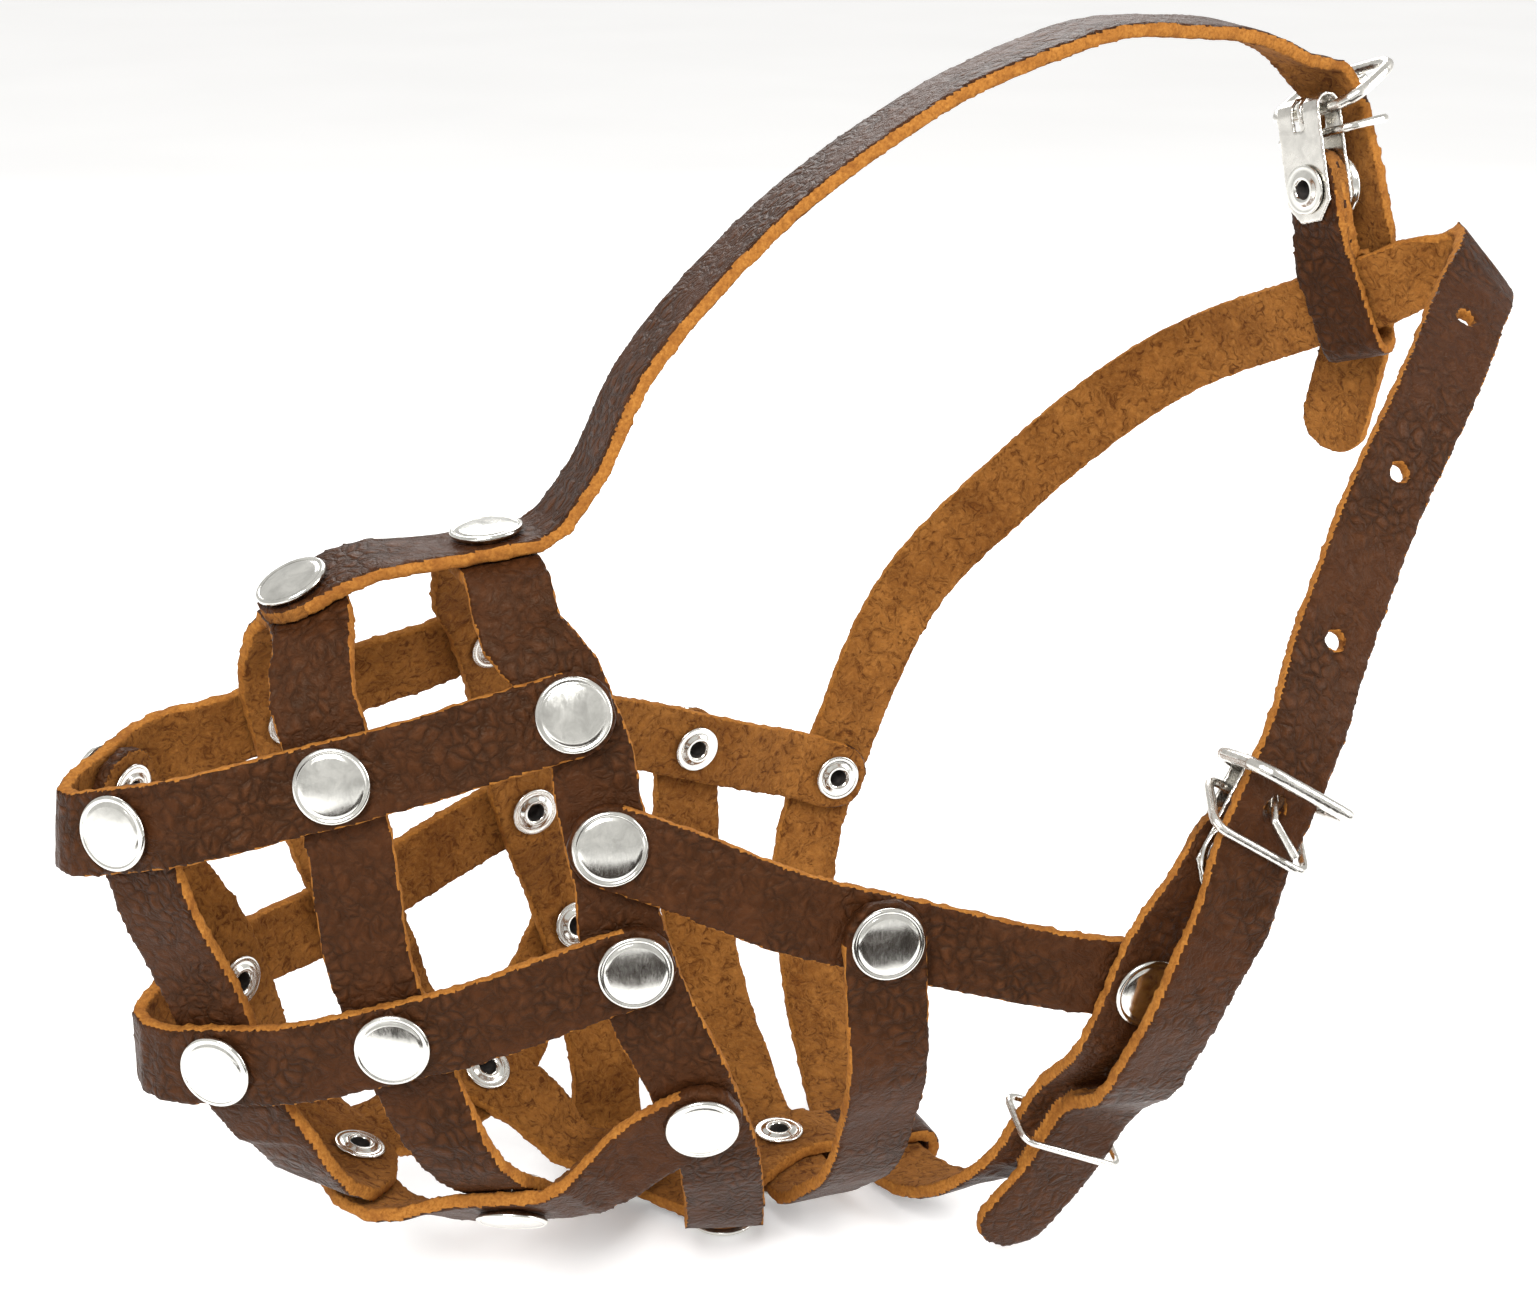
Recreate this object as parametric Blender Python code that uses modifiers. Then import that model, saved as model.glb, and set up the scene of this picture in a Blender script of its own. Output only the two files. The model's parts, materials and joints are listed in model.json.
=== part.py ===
"""Leather basket muzzle: riveted straps, two ring buckles with clips, prongs and wire keepers.

The nose points to -X, +Z is up, and the muzzle stands on the folded link under the neck strap and
on three rivet caps under the basket. Every strap is one ribbon of leather lofted along its own path.
Where straps are riveted they lie flat on one another, so each path runs straight through its rivets.
Lengths in the tables are millimetres.
"""
import math
from typing import NamedTuple

import bmesh
import bpy
from mathutils import Matrix, Vector

MM = 0.001

# Leather
STRAP_WIDTH = 16.0
STRAP_THICKNESS = 3.0
SKIVED_THICKNESS = 2.2      # the forehead loop is pared down so that two plies fit its clip
GAP = 0.3                   # air between pieces that touch
PLY = STRAP_THICKNESS + GAP
LOFT_STEP = 7.0             # spacing of the ribs along a bend
LOFT_TURN = 24.0            # degrees a strap turns between ribs

# Rivets
CAP_RADIUS = 7.1
CAP_RIM = 0.8
CAP_HEIGHT = 2.0
FLANGE_RADIUS = 5.25
FLANGE_HEIGHT = 1.1
TUBE_RADIUS = 2.5
BORE_RADIUS = 1.8
RIVET_SIDES = 12
RIVET_FLAT = 8.6            # half the straight run of a strap under another one
CHIN_SWEEP = 24.0           # sideways turn, in degrees, on either side of the front chin rivet
HOLE_RADIUS = TUBE_RADIUS + GAP

# Buckles
FRAME_WIRE = 1.3            # radius of the ring
FRAME_DEPTH = 17.0
FRAME_HALF_WIDTH = 12.2
KEEPER_WIRE = 0.9
KEEPER_HALF_WIDTH = 10.6
KEEPER_SEAT = 5.0           # from the ring's bar to the keeper's bar, both inside the clip
PRONG_WIRE = 0.8
CLIP_SHEET = 0.8
CLIP_HALF_WIDTH = 6.2
CLIP_LENGTH = 23.0
CLIP_RIVET = 16.0
CLIP_SLOT_END = 3.7         # the slot runs from the fold to here, for the prong's eye
CLIP_SLOT_HALF_WIDTH = 1.5
CLIP_CORNER = 4.5           # how much the corners of the clip's far end are rounded back
LEATHER_START = 6.6         # where the strap's end lies inside the clip
PRONG_HOLE_RADIUS = 2.1
ADJUSTMENT_HOLE_RADIUS = 2.0

# The floor the muzzle stands on, in the height scale of the tables below
FLOOR = -125.0
STACK_OF_THREE = 2 * PLY + STRAP_THICKNESS / 2
CAP_STANDING = FLOOR + STACK_OF_THREE + GAP + CAP_HEIGHT
FOLD_STANDING = FLOOR + STACK_OF_THREE

DOWN = Vector((0, 0, -1))


class Station(NamedTuple):
    """A place a strap passes: its centre, its outer side, and half its straight run there."""
    point: Vector
    normal: Vector
    flat: float = 0.0
    heading: Vector | None = None


# Rivets: centre of the innermost layer, direction of the cap, and number of layers
RIVETS = {
    "upper_front_near": ((-114, -9, -18), (-0.68, -0.73, 0.10), 2),
    "upper_front_far": ((-113.5, 8.5, -17.3), (-0.68, 0.73, 0.10), 2),
    "upper_middle_near": ((-78.5, -20, -10), (-0.30, -0.93, 0.20), 2),
    "upper_middle_far": ((-80, 20, -11), (-0.30, 0.93, 0.20), 2),
    "upper_rear_near": ((-35, -27, 0), (-0.28, -0.91, 0.30), 2),
    "upper_rear_far": ((-37, 26, -2), (-0.28, 0.91, 0.30), 2),
    "lower_front_near": ((-100, -13, -66), (-0.60, -0.80, 0.00), 2),
    "lower_front_far": ((-95, 12, -62), (-0.60, 0.80, 0.00), 2),
    "lower_middle_near": ((-71, -28, -59), (-0.35, -0.93, 0.00), 2),
    "lower_middle_far": ((-66, 28, -58), (-0.35, 0.93, 0.00), 2),
    "lower_rear_near": ((-28, -38.5, -46), (-0.20, -0.97, 0.06), 2),
    "lower_rear_far": ((-26, 38, -45), (-0.20, 0.97, 0.06), 2),
    "cheek_front_near": ((-31, -34, -23.5), (-0.22, -0.95, 0.20), 2),
    "cheek_front_far": ((-31, 33.5, -23.5), (-0.22, 0.95, 0.20), 2),
    "cheek_middle_near": ((17, -51, -42), (-0.15, -0.98, 0.08), 2),
    "cheek_middle_far": ((16, 52, -41), (-0.15, 0.98, 0.08), 2),
    "cheek_rear_near": ((64, -66.5, -52), (-0.12, -0.99, -0.06), 2),
    "cheek_rear_far": ((55, 62, -57), (0.00, 1.00, -0.05), 2),
    "chin_rear_near": ((-16, -42.5, -77), (-0.25, -0.93, -0.25), 2),
    "chin_rear_far": ((-16, 42.5, -76), (-0.25, 0.93, -0.25), 2),
    "chin_middle_near": ((-49, -27, -97), (-0.25, -0.60, -0.76), 2),
    "chin_middle_far": ((-41, 27, -100), (-0.25, 0.60, -0.76), 2),
    "chin_front": ((-74, 2, -100), (-0.28, 0.05, -0.96), 2),
    "forehead_front": ((-78.5, 1, 17), (-0.42, -0.12, 0.90), 2),
    "forehead_rear": ((-43, 0, 23), (-0.10, 0.00, 1.00), 2),
    "basket_bottom_front": ((-10, 11, CAP_STANDING), DOWN, 3),
    "basket_bottom_rear": ((1, -9, CAP_STANDING), DOWN, 3),
    "throat_bottom": ((18, 2, CAP_STANDING), DOWN, 3),
}

# The neck strap crosses the link here, between the link's two plies
NECK_BOTTOM = Vector((41, 4, FOLD_STANDING))

# Each buckle: middle of the ring's bar, direction along the clip, direction the ring stands out
NECK_BUCKLE = {
    "origin": (86, -70, -13),
    "along": (-0.54, -0.12, -0.83),
    "out": (-0.05, -0.97, 0.20),
    "layer": STRAP_THICKNESS,
    "strap_out": 7.4,           # from the bar to the middle of the strap inside the ring
    "frame_tilt": 0.0,          # angles from straight out, turning towards the clip
    "keeper_tilt": 36.0,
    "keeper_depth": 13.2,
    "prong_tilt": 45.0,
    "prong_side": -1,           # the pin leaves the ring side (-1) or the clip side (1) of its eye
    "prong_end": ((10.2, 6.8, 0.0), (12.6, 11.0, 6.0)),
}
FOREHEAD_BUCKLE = {
    "origin": (142.5, 18, 98),
    "along": (0.07, -0.26, -0.96),
    "out": (0.98, 0.19, 0.02),
    "layer": 2 * SKIVED_THICKNESS + GAP,
    "strap_out": 7.8,
    "frame_tilt": -28.0,
    "keeper_tilt": -6.0,
    "keeper_depth": 12.4,
    "prong_tilt": -28.0,
    "prong_side": 1,
    "prong_end": ((17.5, -6.5, 0.0),),
}

# Free keeper around the neck strap and its tail
KEEPER_THROAT = Vector((57, -47, -92))
KEEPER_OUT = Vector((-0.12, -0.94, -0.31)).normalized()
KEEPER_TAIL = Vector((61.5, -50.6, -94.8))
KEEPER_ALONG = Vector((-0.42, 0.33, -0.845)).normalized()
FREE_KEEPER_WIRE = 0.75
FREE_KEEPER_HALF_WIDTH = 12.2
FREE_KEEPER_HALF_HEIGHT = 6.3

# Where the forehead loop goes round the neck strap
LOOP_POINT = Vector((151.5, 12.2, 58.5))
LOOP_NORMAL = Vector((0.83, 0.49, 0.265)).normalized()

# The near side of the neck strap, from behind the neck down to the buckle; each has a hole
NECK_RISE = (
    ((152, -28, 61), (0.10, -0.62, 0.77)),
    ((122, -52, 38), (0.00, -0.88, 0.47)),
    ((101, -66, 11), (-0.02, -0.90, 0.43)),
)

COLOURS = {
    "leather": ((0.150, 0.055, 0.028, 1), 0.62, 0.0),
    "nickel": ((0.72, 0.71, 0.67, 1), 0.22, 1.0),
}


def clear_scene():
    for obj in list(bpy.data.objects):
        bpy.data.objects.remove(obj, do_unlink=True)


def new_collection(name):
    collection = bpy.data.collections.new(name)
    bpy.context.scene.collection.children.link(collection)
    return collection


def finish_of(kind, name):
    colour, roughness, metallic = COLOURS[kind]
    material = bpy.data.materials.new(name)
    material.use_nodes = True
    shader = material.node_tree.nodes["Principled BSDF"]
    shader.inputs["Base Color"].default_value = colour
    shader.inputs["Roughness"].default_value = roughness
    shader.inputs["Metallic"].default_value = metallic
    return material


def add_mesh(name, mesh, kind):
    obj = bpy.data.objects.new(name, mesh)
    mesh.materials.append(finish_of(kind, name))
    PARTS.objects.link(obj)
    return obj


def add_cutter(name, mesh):
    obj = bpy.data.objects.new(name, mesh)
    obj.hide_render = True
    obj.display_type = "WIRE"
    CUTTERS.objects.link(obj)
    return obj


def cut(obj, cutter):
    boolean = obj.modifiers.new("cut", "BOOLEAN")
    boolean.operation = "DIFFERENCE"
    boolean.solver = "EXACT"
    boolean.object = cutter


def unit(vector):
    return Vector(vector).normalized()


def across(vector, normal):
    """The part of a vector that lies in the plane of a normal, as a unit vector."""
    vector = Vector(vector)
    return (vector - normal * vector.dot(normal)).normalized()


def layer_at(rivet, layer):
    """Centre and normal of one layer of leather under a rivet."""
    point, normal, _ = RIVETS[rivet]
    normal = unit(normal)
    return Vector(point) + normal * layer * PLY, normal


def through(rivet, layer, flat=RIVET_FLAT):
    return Station(*layer_at(rivet, layer), flat)


def bend(point, normal):
    return Station(Vector(point), unit(normal))


def sweep(rivet, layer, heading, turn, reach=RIVET_FLAT):
    """Three stations of a strap that swings sideways round a rivet while lying flat on its layer."""
    point, normal = layer_at(rivet, layer)
    heading = across(heading, normal)
    stations = []
    for step in (-1, 0, 1):
        direction = Matrix.Rotation(math.radians(turn * step), 3, normal) @ heading
        chord = Matrix.Rotation(math.radians(turn * step / 2), 3, normal) @ heading
        stations.append(Station(point + chord * step * reach, normal, 0.0, direction))
    return stations


def turned_over(station):
    """The same place with the strap's grain on the other side."""
    return station._replace(normal=-station.normal)


# ---------------------------------------------------------------- straps

def headings(stations):
    """Direction of the strap at each station, in the plane of its surface."""
    result = []
    for index, station in enumerate(stations):
        before = stations[max(index - 1, 0)].point
        after = stations[min(index + 1, len(stations) - 1)].point
        result.append(across(station.heading or after - before, station.normal))
    return result


def end_ribs(centre, heading, normal, half_width, reach):
    """Ribs of a half-round end, from its tip back to the full width."""
    ribs = []
    for degrees in (20, 45, 68, 90):
        angle = math.radians(degrees)
        point = centre - heading * reach * math.cos(angle)
        ribs.append((point, heading, normal, half_width * math.sin(angle)))
    return ribs


def curve_ribs(start, end, half_width):
    """Ribs of the smooth bend between two stations, without its two end ribs."""
    point_a, heading_a, normal_a = start
    point_b, heading_b, normal_b = end
    span = (point_b - point_a).length
    turning = heading_a.angle(heading_b)
    count = max(2, math.ceil(span / LOFT_STEP), math.ceil(math.degrees(turning) / LOFT_TURN))
    span /= math.cos(turning / 4) ** 2
    ribs = []
    for step in range(1, count):
        t = step / count
        blend = t * t * (3 - 2 * t)
        point = (
            point_a * (2 * t ** 3 - 3 * t ** 2 + 1)
            + heading_a * span * (t ** 3 - 2 * t ** 2 + t)
            + point_b * (3 * t ** 2 - 2 * t ** 3)
            + heading_b * span * (t ** 3 - t ** 2)
        )
        heading = (
            point_a * (6 * t ** 2 - 6 * t)
            + heading_a * span * (3 * t ** 2 - 4 * t + 1)
            + point_b * (6 * t - 6 * t ** 2)
            + heading_b * span * (3 * t ** 2 - 2 * t)
        ).normalized()
        normal = across(normal_a.lerp(normal_b, blend), heading)
        ribs.append((point, heading, normal, half_width))
    return ribs


def strap_ribs(stations, width):
    half_width = width / 2
    directions = headings(stations)
    ribs = []
    last = len(stations) - 1
    previous = None
    for index, (point, normal, flat, _) in enumerate(stations):
        heading = directions[index]
        if index == 0:
            ribs += end_ribs(point, heading, normal, half_width, half_width)
            entry = None
        else:
            entry = (point - heading * flat, heading, normal)
            ribs += curve_ribs(previous, entry, half_width)
            ribs.append((*entry, half_width))
        if index == last:
            tip = end_ribs(point, -heading, normal, half_width, half_width)
            ribs += [(place, heading, normal, half) for place, _, _, half in reversed(tip)]
        elif flat:
            ribs.append((point + heading * flat, heading, normal, half_width))
        previous = (point + heading * flat, heading, normal)
    return ribs


def ribbon(ribs, thickness):
    """Closed mesh of a ribbon of leather with a rectangular section at every rib."""
    shape = bmesh.new()
    rings = []
    for point, heading, normal, half_width in ribs:
        side = heading.cross(normal).normalized() * half_width
        rise = normal * thickness / 2
        corners = (point - side - rise, point + side - rise, point + side + rise, point - side + rise)
        rings.append([shape.verts.new(corner * MM) for corner in corners])
    for lower, upper in zip(rings, rings[1:]):
        for corner in range(4):
            other = (corner + 1) % 4
            shape.faces.new((lower[corner], lower[other], upper[other], upper[corner]))
    shape.faces.new(rings[0][::-1])
    shape.faces.new(rings[-1])
    bmesh.ops.recalc_face_normals(shape, faces=shape.faces)
    mesh = bpy.data.meshes.new("ribbon")
    shape.to_mesh(mesh)
    shape.free()
    return mesh


def drill(shape, point, normal, radius, depth):
    """Add one round cutter to a mesh of cutters."""
    placed = Matrix.Translation(Vector(point) * MM) @ unit(normal).to_track_quat("Z", "Y").to_matrix().to_4x4()
    bmesh.ops.create_cone(
        shape, cap_ends=True, segments=RIVET_SIDES, radius1=radius * MM, radius2=radius * MM,
        depth=depth * MM, matrix=placed)


def strap(name, stations, width=STRAP_WIDTH, thickness=STRAP_THICKNESS, holes=()):
    """One strap. Holes are (point, normal, radius, depth); its rivets' holes are among them."""
    obj = add_mesh(name, ribbon(strap_ribs(stations, width), thickness), "leather")
    if holes:
        shape = bmesh.new()
        for hole in holes:
            drill(shape, *hole)
        mesh = bpy.data.meshes.new(name + "_holes")
        shape.to_mesh(mesh)
        shape.free()
        cut(obj, add_cutter(name + "_holes", mesh))
    return obj


def rivet_holes(*rivets):
    """Holes for rivets, each given as (name, layer)."""
    return [(*layer_at(name, layer), HOLE_RADIUS, STRAP_THICKNESS + 0.2) for name, layer in rivets]


def band(name, rivets, front):
    """A U around the nose, riveted outside the hoops."""
    half = len(rivets) // 2
    stations = [through(rivet, 1) for rivet in rivets]
    stations.insert(half, bend(*front))
    strap(name, stations, holes=rivet_holes(*[(rivet, 1) for rivet in rivets]))


def nose_bands():
    band("upper_nose_band", (
        "upper_rear_near", "upper_middle_near", "upper_front_near",
        "upper_front_far", "upper_middle_far", "upper_rear_far",
    ), ((-125.8, -0.5, -20.2), (-1, 0, 0.1)))
    band("lower_nose_band", (
        "lower_rear_near", "lower_middle_near", "lower_front_near",
        "lower_front_far", "lower_middle_far", "lower_rear_far",
    ), ((-115, -1, -66.5), (-1, 0.05, 0)))


def chin_band():
    stations = [through("chin_rear_near", 1, 9.5), through("chin_middle_near", 1, 9.5)]
    stations += sweep("chin_front", 1, (0.1, 1, 0), CHIN_SWEEP, 10.5)
    stations += [
        through("chin_middle_far", 1, 9),
        bend((-28.5, 40, -93.5), (-0.25, 0.78, -0.57)),
        through("chin_rear_far", 1, 10.5),
    ]
    strap("chin_band", stations, holes=rivet_holes(
        ("chin_rear_near", 1), ("chin_middle_near", 1), ("chin_front", 1),
        ("chin_middle_far", 1), ("chin_rear_far", 1)))


def hoops():
    front = [
        through("upper_front_near", 0),
        through("lower_front_near", 0),
        bend((-91, -16, -84), (-0.68, -0.66, -0.30)),
    ]
    front += sweep("chin_front", 0, (0, 1, 0), -CHIN_SWEEP, 6.5)
    front += [
        bend((-88, 15.5, -84), (-0.68, 0.66, -0.30)),
        through("lower_front_far", 0),
        through("upper_front_far", 0),
    ]
    strap("front_hoop", front, holes=rivet_holes(
        ("upper_front_near", 0), ("lower_front_near", 0), ("chin_front", 0),
        ("lower_front_far", 0), ("upper_front_far", 0)))
    strap("middle_hoop", [
        through("basket_bottom_front", 0),
        through("chin_middle_near", 0),
        through("lower_middle_near", 0),
        through("upper_middle_near", 0),
        bend((-81, -15.5, 4), (-0.36, -0.80, 0.48)),
        *sweep("forehead_front", 0, (0, 1, 0), 9, 7.5),
        bend((-82, 15.6, 5), (-0.36, 0.80, 0.48)),
        through("upper_middle_far", 0),
        through("lower_middle_far", 0),
        through("chin_middle_far", 0, 11.5),
        through("basket_bottom_front", 1, 12),
    ], holes=rivet_holes(
        ("basket_bottom_front", 0), ("chin_middle_near", 0), ("lower_middle_near", 0),
        ("upper_middle_near", 0), ("forehead_front", 0), ("upper_middle_far", 0),
        ("lower_middle_far", 0), ("chin_middle_far", 0), ("basket_bottom_front", 1)))
    strap("rear_hoop", [
        through("basket_bottom_rear", 1),
        bend((-8, -34, -101), (-0.15, -0.75, -0.65)),
        through("chin_rear_near", 0),
        through("lower_rear_near", 0, 8),
        through("cheek_front_near", 0, 8),
        through("upper_rear_near", 0, 8),
        bend((-42, -18, 13), (-0.25, -0.75, 0.60)),
        through("forehead_rear", 0),
        bend((-43, 18, 11), (-0.25, 0.75, 0.60)),
        through("upper_rear_far", 0, 8),
        through("cheek_front_far", 0, 8),
        through("lower_rear_far", 0, 8),
        through("chin_rear_far", 0, 11),
        bend((-12.5, 33.5, -101.5), (-0.15, 0.74, -0.65)),
        bend((-12.5, 25.5, CAP_STANDING - 2 * PLY), DOWN),
        through("basket_bottom_front", 2, 4),
        through("basket_bottom_rear", 2, 7),
    ], holes=rivet_holes(
        ("basket_bottom_rear", 1), ("chin_rear_near", 0), ("lower_rear_near", 0),
        ("cheek_front_near", 0), ("upper_rear_near", 0), ("forehead_rear", 0),
        ("upper_rear_far", 0), ("cheek_front_far", 0), ("lower_rear_far", 0),
        ("chin_rear_far", 0), ("basket_bottom_front", 2), ("basket_bottom_rear", 2)))
    strap("throat_hoop", [
        through("cheek_middle_near", 1, 10),
        bend((17, -56, -66), (-0.05, -0.99, -0.10)),
        bend((19, -46, -87), (0.00, -0.90, -0.42)),
        bend((19, -31, -106.5), (0.00, -0.55, -0.83)),
        bend((18, -12, CAP_STANDING - PLY), DOWN),
        through("throat_bottom", 1, 9),
        bend((18, 33, -107), (0.00, 0.55, -0.83)),
        bend((17, 48, -90), (0.00, 0.92, -0.38)),
        bend((16, 57, -67), (-0.05, 0.99, -0.08)),
        through("cheek_middle_far", 1, 10),
    ], holes=rivet_holes(("cheek_middle_near", 1), ("throat_bottom", 1), ("cheek_middle_far", 1)))


def cheek_straps():
    for side in ("near", "far"):
        front, middle, rear = (f"cheek_{place}_{side}" for place in ("front", "middle", "rear"))
        strap(f"cheek_strap_{side}", [
            through(front, 1), through(middle, 0, 11), through(rear, 0),
        ], holes=rivet_holes((front, 1), (middle, 0), (rear, 0)))


def link_loop():
    """From the basket's bottom to the throat hoop, under the neck strap and back to its rivet."""
    top = NECK_BOTTOM
    half_run = STRAP_WIDTH / 2 + GAP
    fold = top + DOWN * PLY + Vector((half_run + PLY, 0, 0))
    strap("link_loop", [
        turned_over(through("basket_bottom_rear", 0, 0)),
        turned_over(through("throat_bottom", 0, 0)),
        Station(layer_at("throat_bottom", 0)[0] + Vector((half_run + 1, 1, 0)), -DOWN),
        Station(top, -DOWN, half_run, Vector((1, 0, 0))),
        bend(fold, (1, 0, 0)),
        Station(top + DOWN * 2 * PLY, DOWN, half_run, Vector((-1, 0, 0))),
        through("throat_bottom", 2, 8.6),
    ], holes=rivet_holes(("basket_bottom_rear", 0), ("throat_bottom", 0), ("throat_bottom", 2)))


def buckle_axes(buckle):
    """Origin and the three directions of a buckle: across the strap, outward, along the clip."""
    along = unit(buckle["along"])
    out = across(buckle["out"], along)
    return Vector(buckle["origin"]), out.cross(along), out, along


def in_buckle(buckle, out_distance, along_distance, across_distance=0.0):
    origin, side, out, along = buckle_axes(buckle)
    return origin + out * out_distance + along * along_distance + side * across_distance


def turned(buckle, degrees):
    """Direction at an angle from straight out, turning towards the clip."""
    _, _, out, along = buckle_axes(buckle)
    angle = math.radians(degrees)
    return out * math.cos(angle) + along * math.sin(angle)


def prong_line(buckle):
    """Start and direction of the prong's pin, which leaves its eye along a tangent."""
    tilt = buckle["prong_tilt"]
    eye = FRAME_WIRE + GAP + PRONG_WIRE
    leave = turned(buckle, tilt + 90 * buckle["prong_side"])
    return Vector(buckle["origin"]) + leave * eye, turned(buckle, tilt)


def prong_hole(buckle):
    start, direction = prong_line(buckle)
    _, _, out, _ = buckle_axes(buckle)
    travel = (buckle["strap_out"] - (start - Vector(buckle["origin"])).dot(out)) / direction.dot(out)
    return start + direction * travel, direction, PRONG_HOLE_RADIUS, 3 * STRAP_THICKNESS


def clip_hole(buckle, out_distance, thickness):
    """Hole for the clip's rivet in one ply inside the clip."""
    _, _, out, _ = buckle_axes(buckle)
    return in_buckle(buckle, out_distance, CLIP_RIVET), out, HOLE_RADIUS, thickness + 0.2


def in_clip(buckle, out_distance, facing):
    """The two stations that keep a ply straight between the plates of a clip."""
    _, _, out, along = buckle_axes(buckle)
    first = LEATHER_START + STRAP_WIDTH / 2
    last = CLIP_LENGTH - 2
    return [
        Station(in_buckle(buckle, out_distance, first), out * facing, 0.0, along),
        Station(in_buckle(buckle, out_distance, last), out * facing, 3.0, along),
    ]


def neck_strap():
    _, _, out, _ = buckle_axes(NECK_BUCKLE)
    ring = in_buckle(NECK_BUCKLE, NECK_BUCKLE["strap_out"], 4)
    stations = in_clip(NECK_BUCKLE, 0, 1) + [
        through("cheek_rear_near", 1),
        Station(KEEPER_THROAT, KEEPER_OUT, 7.0),
        bend((47, -30, -113), (0.10, -0.60, -0.79)),
        Station(NECK_BOTTOM + DOWN * PLY, DOWN, 9.0),
        bend((43, 33, -115), (-0.05, 0.55, -0.83)),
        bend((46, 53, -98), (-0.05, 0.88, -0.45)),
        bend((48, 63, -78), (0.00, 0.99, -0.10)),
        through("cheek_rear_far", 1),
        bend((74, 67, -17), (0.15, 0.97, -0.12)),
        bend((98, 64, 8), (0.25, 0.94, -0.15)),
        bend((130, 53, 36), (0.45, 0.86, -0.15)),
        Station(LOOP_POINT, LOOP_NORMAL, 9.5),
        bend((171, -3, 70), (0.78, -0.10, 0.62)),
    ]
    stations += [bend(*place) for place in NECK_RISE]
    stations += [
        Station(ring, out, 10.0, unit((-0.48, -0.14, -0.86))),
        bend((75.6, -79.8, -34), (-0.08, -0.99, 0.08)),
        bend((68.6, -78.0, -52), (0.00, -0.98, -0.16)),
        bend((64.8, -69.4, -73), (-0.05, -0.93, -0.35)),
        Station(KEEPER_TAIL, KEEPER_OUT, 7.0),
        bend((52, -43.6, -114.6), (-0.12, -0.94, -0.31)),
    ]
    holes = rivet_holes(("cheek_rear_near", 1), ("cheek_rear_far", 1))
    holes.append(clip_hole(NECK_BUCKLE, 0, STRAP_THICKNESS))
    holes.append(prong_hole(NECK_BUCKLE))
    holes += [(point, normal, ADJUSTMENT_HOLE_RADIUS, 2 * STRAP_THICKNESS) for point, normal in NECK_RISE]
    strap("neck_strap", stations, holes=holes)


def forehead_strap():
    ring = in_buckle(FOREHEAD_BUCKLE, FOREHEAD_BUCKLE["strap_out"], -3)
    stations = [
        through("forehead_front", 1),
        through("forehead_rear", 1),
        bend((-27, 0, 34), (-0.70, 0, 0.70)),
        bend((-14, 0, 57), (-0.80, 0, 0.58)),
        bend((10, 0, 82), (-0.66, 0, 0.75)),
        bend((43, 0, 104), (-0.48, 0, 0.88)),
        bend((77, 2, 116.5), (-0.25, -0.05, 0.97)),
        bend((108, 9.4, 117), (0.05, -0.08, 0.99)),
        bend((134, 16.5, 111), (0.42, -0.05, 0.90)),
        Station(in_buckle(FOREHEAD_BUCKLE, 3.2, -8.8), turned(FOREHEAD_BUCKLE, -50)),
        Station(ring, turned(FOREHEAD_BUCKLE, -25)),
        Station(in_buckle(FOREHEAD_BUCKLE, 9.2, 6), turned(FOREHEAD_BUCKLE, 0)),
        bend(in_buckle(FOREHEAD_BUCKLE, 10.8, 15), (0.98, 0.22, 0.08)),
        Station(LOOP_POINT + LOOP_NORMAL * 7.8, unit((0.88, 0.43, 0.20)), 6.0),
        bend((160.5, 25, 29), (0.90, 0.42, 0.14)),
    ]
    holes = rivet_holes(("forehead_front", 1), ("forehead_rear", 1))
    holes.append(prong_hole(FOREHEAD_BUCKLE))
    strap("forehead_strap", stations, holes=holes)


def forehead_loop():
    """Two plies from the forehead clip, passing either side of the neck strap."""
    half_ply = (SKIVED_THICKNESS + GAP) / 2
    beside = STRAP_THICKNESS / 2 + 0.7 + SKIVED_THICKNESS / 2
    half_run = STRAP_WIDTH / 2 + 1.2
    down = across((0.37, -0.12, -0.92), LOOP_NORMAL)
    stations = in_clip(FOREHEAD_BUCKLE, -half_ply, -1)
    stations += [
        Station(LOOP_POINT - LOOP_NORMAL * beside, -LOOP_NORMAL, half_run, down),
        bend(LOOP_POINT + down * (half_run + beside), down),
        Station(LOOP_POINT + LOOP_NORMAL * beside, LOOP_NORMAL, half_run, -down),
    ]
    stations += [station._replace(heading=-station.heading)
                 for station in reversed(in_clip(FOREHEAD_BUCKLE, half_ply, 1))]
    holes = [clip_hole(FOREHEAD_BUCKLE, sign * half_ply, SKIVED_THICKNESS) for sign in (-1, 1)]
    strap("forehead_loop", stations, width=14.0, thickness=SKIVED_THICKNESS, holes=holes)


# ---------------------------------------------------------------- rivets

def rivet_profile(inner, outer):
    """Half section of a hollow rivet, from the top of its cap to the bottom of its bore."""
    flange = -inner - FLANGE_HEIGHT
    return [
        (0.0, outer + CAP_HEIGHT),
        (CAP_RADIUS * 0.55, outer + CAP_HEIGHT - 0.35),
        (CAP_RADIUS, outer + CAP_RIM),
        (CAP_RADIUS - 0.2, outer),
        (TUBE_RADIUS, outer),
        (TUBE_RADIUS, -inner),
        (FLANGE_RADIUS, -inner),
        (FLANGE_RADIUS - 0.8, flange),
        (BORE_RADIUS + 0.3, flange),
        (BORE_RADIUS, -inner + 1.0),
        (0.0, -inner + 1.0),
    ]


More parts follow.
